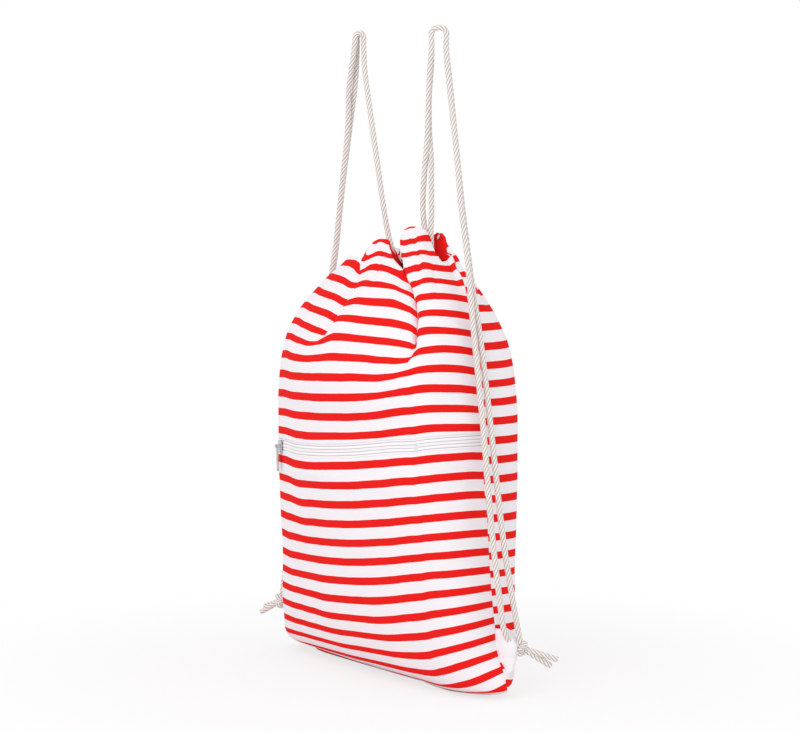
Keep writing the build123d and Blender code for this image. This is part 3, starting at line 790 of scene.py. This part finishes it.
class BACKPACK_OT_lower_front(bpy.types.Operator):
    """Front cloth below the zip, with the front half of the bottom"""
    bl_idname = "backpack.lower_front"
    bl_label = "Lower front"

    def execute(self, context):
        p = np.linspace(-1, 1, FRONT_COLUMNS)
        top = zip_line(zip_wall(p)[0]) - SLOT_HALF
        points = lower_body(FRONT, p, top, FRONT_LOWER_ROWS)
        v = -(lengths(points[::-1])[::-1] + SLOT_HALF - FIRST_STRIPE)
        v = v - field(p, points[..., 2], SHIFT_HEIGHTS, SHIFT_PLACES, FRONT_SHIFT)
        striped_piece("lower_front_cloth", "front_panel_lower", points, p, v)
        return {"FINISHED"}


class BACKPACK_OT_back(bpy.types.Operator):
    """Back cloth with its half of the bottom, gathered at the mouth"""
    bl_idname = "backpack.back"
    bl_label = "Back"

    def execute(self, context):
        p = np.linspace(-1, 1, BACK_COLUMNS)
        join = np.full(BACK_COLUMNS, BACK_JOIN)
        low = lower_body(BACK, p, join, BACK_LOWER_ROWS)
        _, points, normal, dip = upper_cloth(BACK, p, join, BACK_UPPER_ROWS, BACK_FOLDS, BACK_RIM)
        over = rim_rows(points, normal)
        points = np.concatenate([low[:-1], points, over])
        seam = len(low) - 1
        length = lengths(points)
        v = length - length[seam] + BACK_JOIN - BACK_STRIPE
        v[seam:-len(over)] += dip
        v[-len(over):] += dip[-1]
        v -= field(p, points[..., 2], BACK_HEIGHTS, (-1, 1), BACK_SHIFT)
        inside = np.zeros_like(v)
        inside[-len(over):] = ease(p, 0.40, 0.44)
        striped_piece("back_cloth", "back_panel", points, p, v, flip=True, inside=inside)
        return {"FINISHED"}


# ---- zip ---------------------------------------------------------------------------
# Profiles of the upper tape and teeth: outwards from the cloth's face, up from the zip's
# middle, and how much painted shade in grey there is along their grooves.
TAPE = [(-1.5, 1.36, 0.6), (-0.5, 1.5, 0.5), (-0.3, 1.8, 0), (-0.22, 2.8, 0), (-0.3, 3.9, 0),
        (-0.5, 4.1, 0.6), (-0.85, 4.25, 0.9), (-0.5, 4.4, 0.5), (-0.25, 4.7, 0),
        (-0.12, 5.5, 0), (-0.12, 6.1, 0.25), (-1.5, 6.6, 0.2), (-1.5, 13.0, 0),
        (-2.05, 13.0, 0), (-2.05, 1.36, 0)]
TEETH = [(-1.5, 0.0, 0), (-0.1, 0.0, 0), (-0.08, 0.4, 0), (-0.1, 0.8, 0), (-0.2, 1.15, 0.05),
         (-0.45, 1.3, 0.5), (-0.9, 1.42, 0.9), (-1.5, 1.42, 0.6)]
ZIP_SPAN = 0.998          # place where the strips of the zip end
TOOTH_PITCH = 1.15


def along_zip(name, profile, sign, steps, ripple):
    """A profile carried along the zip, upside down if sign is -1.

    The path is the smooth front at the zip's height, tilted with the zip.  Teeth ripple the
    outward part of the profile: it moves out and in by a sine wave of the length."""
    shape = np.array(profile[::sign])
    path = np.stack(zip_wall(np.linspace(-ZIP_SPAN, ZIP_SPAN, steps)), -1)
    run = np.gradient(path, axis=0)
    run /= np.linalg.norm(run, axis=1, keepdims=True)
    out = np.stack([run[:, 1], -run[:, 0]], -1)
    outward = shape[:, 0] > shape[:, 0].min() + 0.3
    wave = ripple * np.sin(2 * np.pi * lengths(path) / TOOTH_PITCH)
    lift = shape[:, 0] + wave[:, None] * outward
    flat = path[:, None, :] + out[:, None, :] * lift[..., None]
    z = zip_line(flat[..., 0]) + sign * shape[:, 1]
    points = np.concatenate([flat, z[..., None]], -1)
    count = len(shape)
    faces = [*grid_faces(steps, count, wrap=True, flip=True), np.arange(count),
             np.arange(steps * count - 1, (steps - 1) * count - 1, -1)]
    # Each point of the profile carries how much painted groove shade it gets.
    return make_mesh(name, points, faces,
                     attributes={"groove_shade": np.broadcast_to(shape[:, 2], z.shape)})


class BACKPACK_OT_zip(bpy.types.Operator):
    """Ribbed tapes, two rows of teeth, their end stops, the slider and its pull"""
    bl_idname = "backpack.zip"
    bl_label = "Zip"

    def execute(self, context):
        for sign, word in ((1, "upper"), (-1, "lower")):
            for name, node, profile, steps, ripple, maker in (
                    ("zip_tape", "zip_tape", TAPE, 300, 0.0, tape_cloth),
                    ("zip_teeth", "zip_coil", TEETH, 2000, 0.08, teeth_plastic)):
                strip = along_zip(f"{name}_{word}", profile, sign, steps, ripple)
                dress(strip, name, f"{node}_{word}", maker)
        for node, finish, colour, roughness in (
                ("zip_slider", "zip_metal", (0.66, 0.65, 0.65), 0.3),
                ("zip_pull", "zip_metal", (0.66, 0.65, 0.65), 0.3),
                ("zip_end_stops", "white_metal", (0.93, 0.92, 0.94), 0.45)):
            repaint(node, finish, metal, colour, roughness)
        return {"FINISHED"}


# ---- corner tabs ---------------------------------------------------------------------
# Heights of a tab's leaf and its size there, as a share of the largest.
TAB_SHAPE = np.array([(21.0, 0.02), (23.0, 0.24), (28.0, 0.53), (34.0, 0.78), (40.0, 0.95),
                      (44.5, 1.0), (50.0, 0.94), (55.0, 0.76), (57.5, 0.60), (58.5, 0.50)])
TAB_THICKNESS = 0.0012    # in metres
TAB_REACH = 15.5          # how far a tab stands out from the side of the bag
TAB_MIDDLE, TAB_DEPTH = 8.5, 9.2        # its middle's way from the bag's, and half its depth
TAB_TURN = 3.5            # how far the right one is turned to the back with its seam


class BACKPACK_OT_tabs(bpy.types.Operator):
    """White tabs folded round the side seam at both bottom corners"""
    bl_idname = "backpack.tabs"
    bl_label = "Corner tabs"

    def execute(self, context):
        rows, columns = 70, 80
        height = np.linspace(TAB_SHAPE[0, 0], TAB_SHAPE[-1, 0], rows)[:, None]
        angle = np.linspace(-math.pi / 2, math.pi / 2, columns)
        size = smooth_through(height[:, 0], TAB_SHAPE[:, 0], TAB_SHAPE[:, 1:])
        # Half an ellipse at each height, whose ends start just inside the bag's side.
        seam = np.interp(height, STATIONS[:, 0], STATIONS[:, 1]) - 0.8
        x = seam + TAB_REACH * size * np.cos(angle)
        y = TAB_MIDDLE * size ** 0.6 + (0.3 + TAB_DEPTH * size) * np.sin(angle)
        for sign, word in ((1, "right"), (-1, "left")):
            turn = TAB_TURN if sign > 0 else 0.0
            points = np.stack(np.broadcast_arrays(sign * x, sign * (y + turn), height), -1)
            thing = make_mesh(f"{word}_tab_leaf", points, grid_faces(rows, columns))
            thicken(thing, TAB_THICKNESS)
            dress(thing, "tab_cloth", f"{word}_corner_tab", plain_cloth, (0.92, 0.89, 0.93))
        return {"FINISHED"}


# ---- cords -----------------------------------------------------------------------------
# Control points of the four strands, from the mouth over the loop to the knot.
STRANDS = {
    "left_strand_front": [
        (-9.1, -1.9, 397.3), (-13.4, -1.9, 409.7), (-22.3, -0.9, 440.0), (-32.9, 0.3, 475.9),
        (-42.5, 1.3, 507.5), (-51.8, 2.3, 539.2), (-54.9, 3.4, 561.8), (-53.3, 2.6, 572.5),
        (-56.9, -4.0, 572.4), (-57.8, -4.0, 561.7), (-64.7, -3.3, 539.5), (-70.3, -2.9, 521.7),
        (-70.8, -2.4, 501.8), (-75.0, -1.4, 476.5), (-84.7, 0.0, 440.2), (-94.3, 1.3, 401.7),
        (-104.0, 2.7, 362.8), (-139.0, -9.0, 207.0), (-165.5, -17.0, 47.0)],
    "left_strand_back": [
        (-14.8, 1.9, 397.2), (-19.1, 1.9, 409.7), (-27.9, 2.9, 440.1), (-39.5, 4.1, 476.0),
        (-48.2, 5.1, 507.7), (-57.6, 6.1, 539.5), (-60.6, 7.2, 562.2), (-59.1, 6.4, 572.9),
        (-61.6, 0.8, 572.8), (-62.8, 1.6, 562.1), (-66.6, 3.4, 539.8), (-69.1, 3.5, 523.6),
        (-74.6, 3.6, 502.0), (-80.9, 3.9, 476.7), (-90.4, 4.4, 440.2), (-99.6, 5.5, 401.6),
        (-108.5, 6.5, 362.6), (-139.0, -2.0, 207.0), (-160.0, 3.0, 68.0), (-160.0, 2.0, 43.0),
        (-160.0, -14.0, 43.0)],
    "right_strand_front": [
        (50.0, -1.9, 397.2), (46.6, -1.9, 410.2), (48.6, -2.7, 431.2), (53.3, -3.7, 457.2),
        (58.7, -4.6, 483.1), (60.9, -5.8, 513.2), (65.0, -6.8, 538.9), (69.3, -8.0, 555.8),
        (66.4, -7.4, 570.8), (76.7, 3.1, 570.7), (72.6, 4.2, 556.0), (76.1, 4.0, 532.7),
        (84.3, 3.7, 491.3), (91.0, 3.5, 456.9), (96.6, 3.2, 418.3), (105.1, 3.0, 381.6),
        (110.4, 2.8, 354.3), (118.5, 0.8, 313.6), (141.1, -4.0, 226.4), (154.4, -5.5, 140.9),
        (163.1, -1.0, 70.0), (160.3, 4.0, 53.7), (160.0, 14.0, 43.0)],
    "right_strand_back": [
        (53.7, 1.9, 397.2), (55.2, 1.9, 410.3), (55.4, 1.1, 431.2), (57.2, 0.2, 455.5),
        (54.7, -0.8, 483.2), (56.0, -2.0, 513.4), (60.9, -2.9, 536.5), (63.8, -4.2, 556.2),
        (61.0, -3.6, 571.3), (71.3, 6.9, 571.1), (67.2, 8.0, 556.4), (72.3, 7.8, 532.9),
        (79.9, 7.5, 491.5), (86.2, 7.3, 457.0), (93.2, 7.0, 418.3), (101.6, 6.8, 381.5),
        (109.7, 6.5, 345.7), (118.9, 8.0, 307.4), (141.4, 3.6, 226.1), (155.0, 5.0, 140.2),
        (161.9, 10.0, 89.3), (165.5, 17.0, 47.0)],
}
# Control points of the cords inside the hem, from the mouth inwards.
CHANNEL = {
    "left": [[(-9.1, -1.9, 397.3), (-6.1, -1.9, 388.4), (-1.8, -1.9, 380.5), (3.0, -1.9, 372.6),
              (7.4, -1.9, 365.6), (14.7, -3.0, 357.8)],
             [(-14.8, 1.9, 397.2), (-11.7, 1.9, 388.3), (-7.4, 1.9, 380.3), (-2.6, 1.9, 372.4),
              (1.8, 1.9, 365.4), (8.8, 1.0, 357.6)]],
    "right": [[(50.0, -1.9, 397.2), (53.3, -1.9, 389.4), (57.3, -1.9, 380.7), (59.4, -1.9, 372.1)],
              [(53.7, 1.9, 397.2), (54.0, 1.9, 387.6), (54.3, 1.9, 378.9), (54.3, 1.9, 370.2)]],
}
KNOT_CENTRE = np.array([164.0, 18.5, 43.0])
KNOT_SCALE = 1.75
TAILS = {"right": [(184.0, 43.0, 33.0), (178.0, 40.0, 27.0)],
         "left": [(-186.0, -23.0, 35.0), (-179.0, -32.0, 31.0)]}


def cord_line(points, name, step=0.5):
    """Even points of the smooth line that a cord's control points give, in millimetres."""
    curve = bpy.data.curves.new(name, "CURVE")
    curve.dimensions = "3D"
    curve.resolution_u = 48
    spline = curve.splines.new("NURBS")
    spline.points.add(len(points) - 1)
    flat = np.column_stack([np.array(points, float) * MM, np.ones(len(points))])
    spline.points.foreach_set("co", flat.astype(np.float32).ravel())
    spline.order_u = 3
    spline.use_endpoint_u = True
    thing = bpy.data.objects.new(name, curve)
    bpy.context.scene.collection.objects.link(thing)
    bpy.context.view_layer.update()
    mesh = bpy.data.meshes.new_from_object(thing)
    line = np.empty(len(mesh.vertices) * 3, np.float32)
    mesh.vertices.foreach_get("co", line)
    line = line.reshape(-1, 3).astype(float) / MM
    bpy.data.objects.remove(thing)
    bpy.data.meshes.remove(mesh)
    return even_line(line, step)


def even_line(line, step):
    """The same line with points an even step apart."""
    gap = np.linalg.norm(np.diff(line, axis=0), axis=1)
    line = line[np.concatenate([[True], gap > 1e-6])]
    along = lengths(line)
    at = np.linspace(0, along[-1], max(8, int(along[-1] / step)))
    return np.stack([np.interp(at, along, line[:, k]) for k in range(3)], -1)


def twist(line, radius, lay, plies, reference, to_end, sides=24):
    """A twisted cord round a line: its radius dips between plies, and the dips turn with length,
    which counts from the line's start, or up to 0 at its end.

    Returns points, faces and uv, whose first coordinate counts plies."""
    run = np.gradient(line, axis=0)
    run /= np.linalg.norm(run, axis=1, keepdims=True)
    side = np.cross(run, reference)
    side /= np.maximum(np.linalg.norm(side, axis=1, keepdims=True), 1e-9)
    up = np.cross(run, side)
    along = lengths(line)
    along -= along[-1] * to_end
    angle = np.linspace(0, 2 * np.pi, sides + 1)[None, :]
    ply = plies * (angle / (2 * np.pi) - along[:, None] / lay)
    size = radius * (0.86 + 0.16 * np.abs(np.sin(np.pi * ply)) ** 0.6)
    points = (line[:, None, :] + size[..., None] * (np.cos(angle)[..., None] * side[:, None, :]
              + np.sin(angle)[..., None] * up[:, None, :]))
    count = len(line)
    faces = [*grid_faces(count, sides + 1), np.arange(sides)[::-1],
             np.arange(sides) + (count - 1) * (sides + 1)]
    uv = np.stack(np.broadcast_arrays(ply, along[:, None]), -1)
    return points.reshape(-1, 3), faces, uv.reshape(-1, 2)


def rope_piece(name, node, lines, reference=TOWARDS, to_end=False):
    """One piece of twisted cords along several lines."""
    cord = cord_settings()
    points, faces, uvs, base = [], [], [], 0
    for line in lines:
        made = twist(line, cord.diameter / MM / 2, cord.lay / MM, cord.plies, reference, to_end)
        points.append(made[0])
        faces += [f + base for f in made[1]]
        uvs.append(made[2])
        base += len(made[0])
    thing = make_mesh(name, np.concatenate(points), faces, np.concatenate(uvs))
    dress(thing, "cord", node, twisted_cord)
    return thing


class BACKPACK_OT_knots(bpy.types.Operator):
    """Overhand knots with two tails at both bottom corners"""
    bl_idname = "backpack.knots"
    bl_label = "Knots"

    def execute(self, context):
        # A trefoil: waves of one and two turns across, and of three turns in depth.
        t = np.linspace(0, 2 * np.pi, 110)
        trefoil = np.stack([np.sin(t) + 2 * np.sin(2 * t), -1.3 * np.sin(3 * t),
                            np.cos(t) - 2 * np.cos(2 * t)], -1) * KNOT_SCALE
        for sign, word in ((1, "right"), (-1, "left")):
            centre = KNOT_CENTRE * np.array([sign, sign, 1])
            tails = [even_line(np.array([centre, np.array(tip)]), 0.8) for tip in TAILS[word]]
            rope_piece(f"{word}_knot_rope", f"{word}_knot", [centre + trefoil, *tails],
                       np.array([0.05, 0.31, 0.95]))
        return {"FINISHED"}


class BACKPACK_OT_cords(bpy.types.Operator):
    """Four strands of the two drawcords"""
    bl_idname = "backpack.cords"
    bl_label = "Drawcords"

    def execute(self, context):
        for name, points in STRANDS.items():
            line = cord_line(points, f"{name}_line")
            thing = rope_piece(f"{name}_rope", name, [line])
        return {"FINISHED"}


class BACKPACK_OT_channel(bpy.types.Operator):
    """Ends of both drawcords where they dive into the gathered mouth"""
    bl_idname = "backpack.channel"
    bl_label = "Cords in the hem"

    def execute(self, context):
        for word, lines in CHANNEL.items():
            inwards = [cord_line(points, f"{word}_hem_line")[::-1] for points in lines]
            rope_piece(f"{word}_hem_rope", f"{word}_channel_cord", inwards, to_end=True)
        return {"FINISHED"}


class BACKPACK_OT_hidden(bpy.types.Operator):
    """Lining of the pocket behind the zip"""
    bl_idname = "backpack.hidden"
    bl_label = "Pocket lining"

    def execute(self, context):
        repaint("pocket_lining", "lining_cloth", plain_cloth, (0.80, 0.77, 0.76))
        return {"FINISHED"}


# ---- stage -----------------------------------------------------------------------------
FLOOR_HALF = 12.0         # half the floor's side, in metres
FLOOR_DROP = 0.35         # how far it lies below the bag, in millimetres


def put(thing, place, target):
    """Puts a light or a camera at a place and turns its -Z to a target, with Y upwards."""
    thing.location = place
    direction = Vector([float(d) for d in np.array(target) - np.array(place)])
    thing.rotation_euler = direction.to_track_quat("-Z", "Y").to_euler()
    bpy.context.scene.collection.objects.link(thing)


def soft_box(name, place, size, power):
    """A large square light that looks at the lower half of the bag."""
    lamp = bpy.data.lights.new(name, "AREA")
    lamp.shape, lamp.size, lamp.energy = "SQUARE", size, power
    put(bpy.data.objects.new(name, lamp), place, (0, 0, 0.2))


class BACKPACK_OT_stage(bpy.types.Operator):
    """White floor, soft lights and the camera"""
    bl_idname = "backpack.stage"
    bl_label = "Stage"

    def execute(self, context):
        scene = context.scene
        stage = scene.backpack_stage
        scene.view_settings.view_transform = "Standard"
        corners = np.array([(-1, -1, 0), (1, -1, 0), (1, 1, 0), (-1, 1, 0)]) * FLOOR_HALF / MM
        floor = make_mesh("floor", corners - np.array([0, 0, FLOOR_DROP]), [np.arange(4)])
        shader = Shader("floor", roughness=0.9, specular=0.1)
        place = shader.place()
        shader.feed(Base_Color=shader.mix(shader.noise(place, 3.0), rgba(stage.floor),
                                          rgba(stage.floor, 0.995)))
        # To the camera the floor glows, less so near the bag, where its shadow is seen.
        seen = shader.node("ShaderNodeLightPath", output="Is Camera Ray")
        glossy = shader.node("ShaderNodeLightPath", output="Is Glossy Ray")
        away = shader.node("ShaderNodeVectorMath", {0: place}, "Value", operation="LENGTH")
        glow = shader.node("ShaderNodeEmission", {"Color": (1, 1, 1, 1), "Strength": 1.0})
        share = (seen + glossy) * (away.step(0.15, 0.55) * 0.28 + 0.72)
        total = shader.node("ShaderNodeMixShader",
                            {0: share, 1: Wire(shader, shader.base.outputs[0]), 2: glow})
        shader.tree.links.new(total.socket, shader.tree.nodes["Material Output"].inputs[0])
        floor.data.materials.append(shader.material)

        # The world is white for the camera and a little dimmer as a light.
        world = bpy.data.worlds.new("studio")
        scene.world = world
        world.use_nodes = True
        nodes = Nodes(world.node_tree)
        back = nodes.tree.nodes["Background"]
        seen = nodes.node("ShaderNodeLightPath", output="Is Camera Ray")
        through = nodes.node("ShaderNodeLightPath", output="Is Transmission Ray")
        strength = nodes.node("ShaderNodeMapRange", {"Value": seen.larger(through),
                                                     "To Min": 0.84, "To Max": 1.0})
        nodes.tree.links.new(strength.socket, back.inputs["Strength"])
        back.inputs["Color"].default_value = (1, 1, 1, 1)

        soft_box("key", -ACROSS * 0.9 + TOWARDS * 1.5 + np.array([0, 0, 1.3]), 1.4, stage.key)
        soft_box("fill", ACROSS * 1.6 + TOWARDS * 0.8 + np.array([0, 0, 1.0]), 1.2,
                 stage.key * 0.22)

        camera = bpy.data.cameras.new("camera")
        camera.lens, camera.sensor_width = CAMERA_LENS, 36.0
        camera.clip_start, camera.clip_end = 0.05, 60.0
        scene.camera = bpy.data.objects.new("camera", camera)
        put(scene.camera, TOWARDS * CAMERA_DISTANCE + np.array([0, 0, CAMERA_HEIGHT]),
            ACROSS * AIM_ACROSS + np.array([0, 0, AIM_HEIGHT]))
        return {"FINISHED"}


class BACKPACK_PT_panel(bpy.types.Panel):
    """Lists the operators and settings"""
    bl_idname = "BACKPACK_PT_panel"
    bl_label = "Backpack"
    bl_space_type = "VIEW_3D"
    bl_region_type = "UI"
    bl_category = "Backpack"

    def draw(self, context):
        for operator in OPERATORS:
            self.layout.operator(operator.bl_idname)
        for name, group in GROUPS.items():
            for setting in group.__annotations__:
                self.layout.prop(getattr(context.scene, name), setting)


OPERATORS = (BACKPACK_OT_stage, BACKPACK_OT_lower_front, BACKPACK_OT_upper_front,
             BACKPACK_OT_back, BACKPACK_OT_zip, BACKPACK_OT_tabs, BACKPACK_OT_knots,
             BACKPACK_OT_cords, BACKPACK_OT_channel, BACKPACK_OT_hidden)
GROUPS = {"backpack_cloth": BACKPACK_PG_cloth, "backpack_cord": BACKPACK_PG_cord,
          "backpack_stage": BACKPACK_PG_stage}


def register():
    for group in (*GROUPS.values(), *OPERATORS, BACKPACK_PT_panel):
        bpy.utils.register_class(group)
    for name, group in GROUPS.items():
        setattr(bpy.types.Scene, name, PointerProperty(type=group))


def unregister():
    for name in GROUPS:
        delattr(bpy.types.Scene, name)
    for group in reversed((*GROUPS.values(), *OPERATORS, BACKPACK_PT_panel)):
        bpy.utils.unregister_class(group)


def main():
    register()
    for operator in OPERATORS:
        group, name = operator.bl_idname.split(".")
        getattr(getattr(bpy.ops, group), name)()


if __name__ == "__main__":
    main()
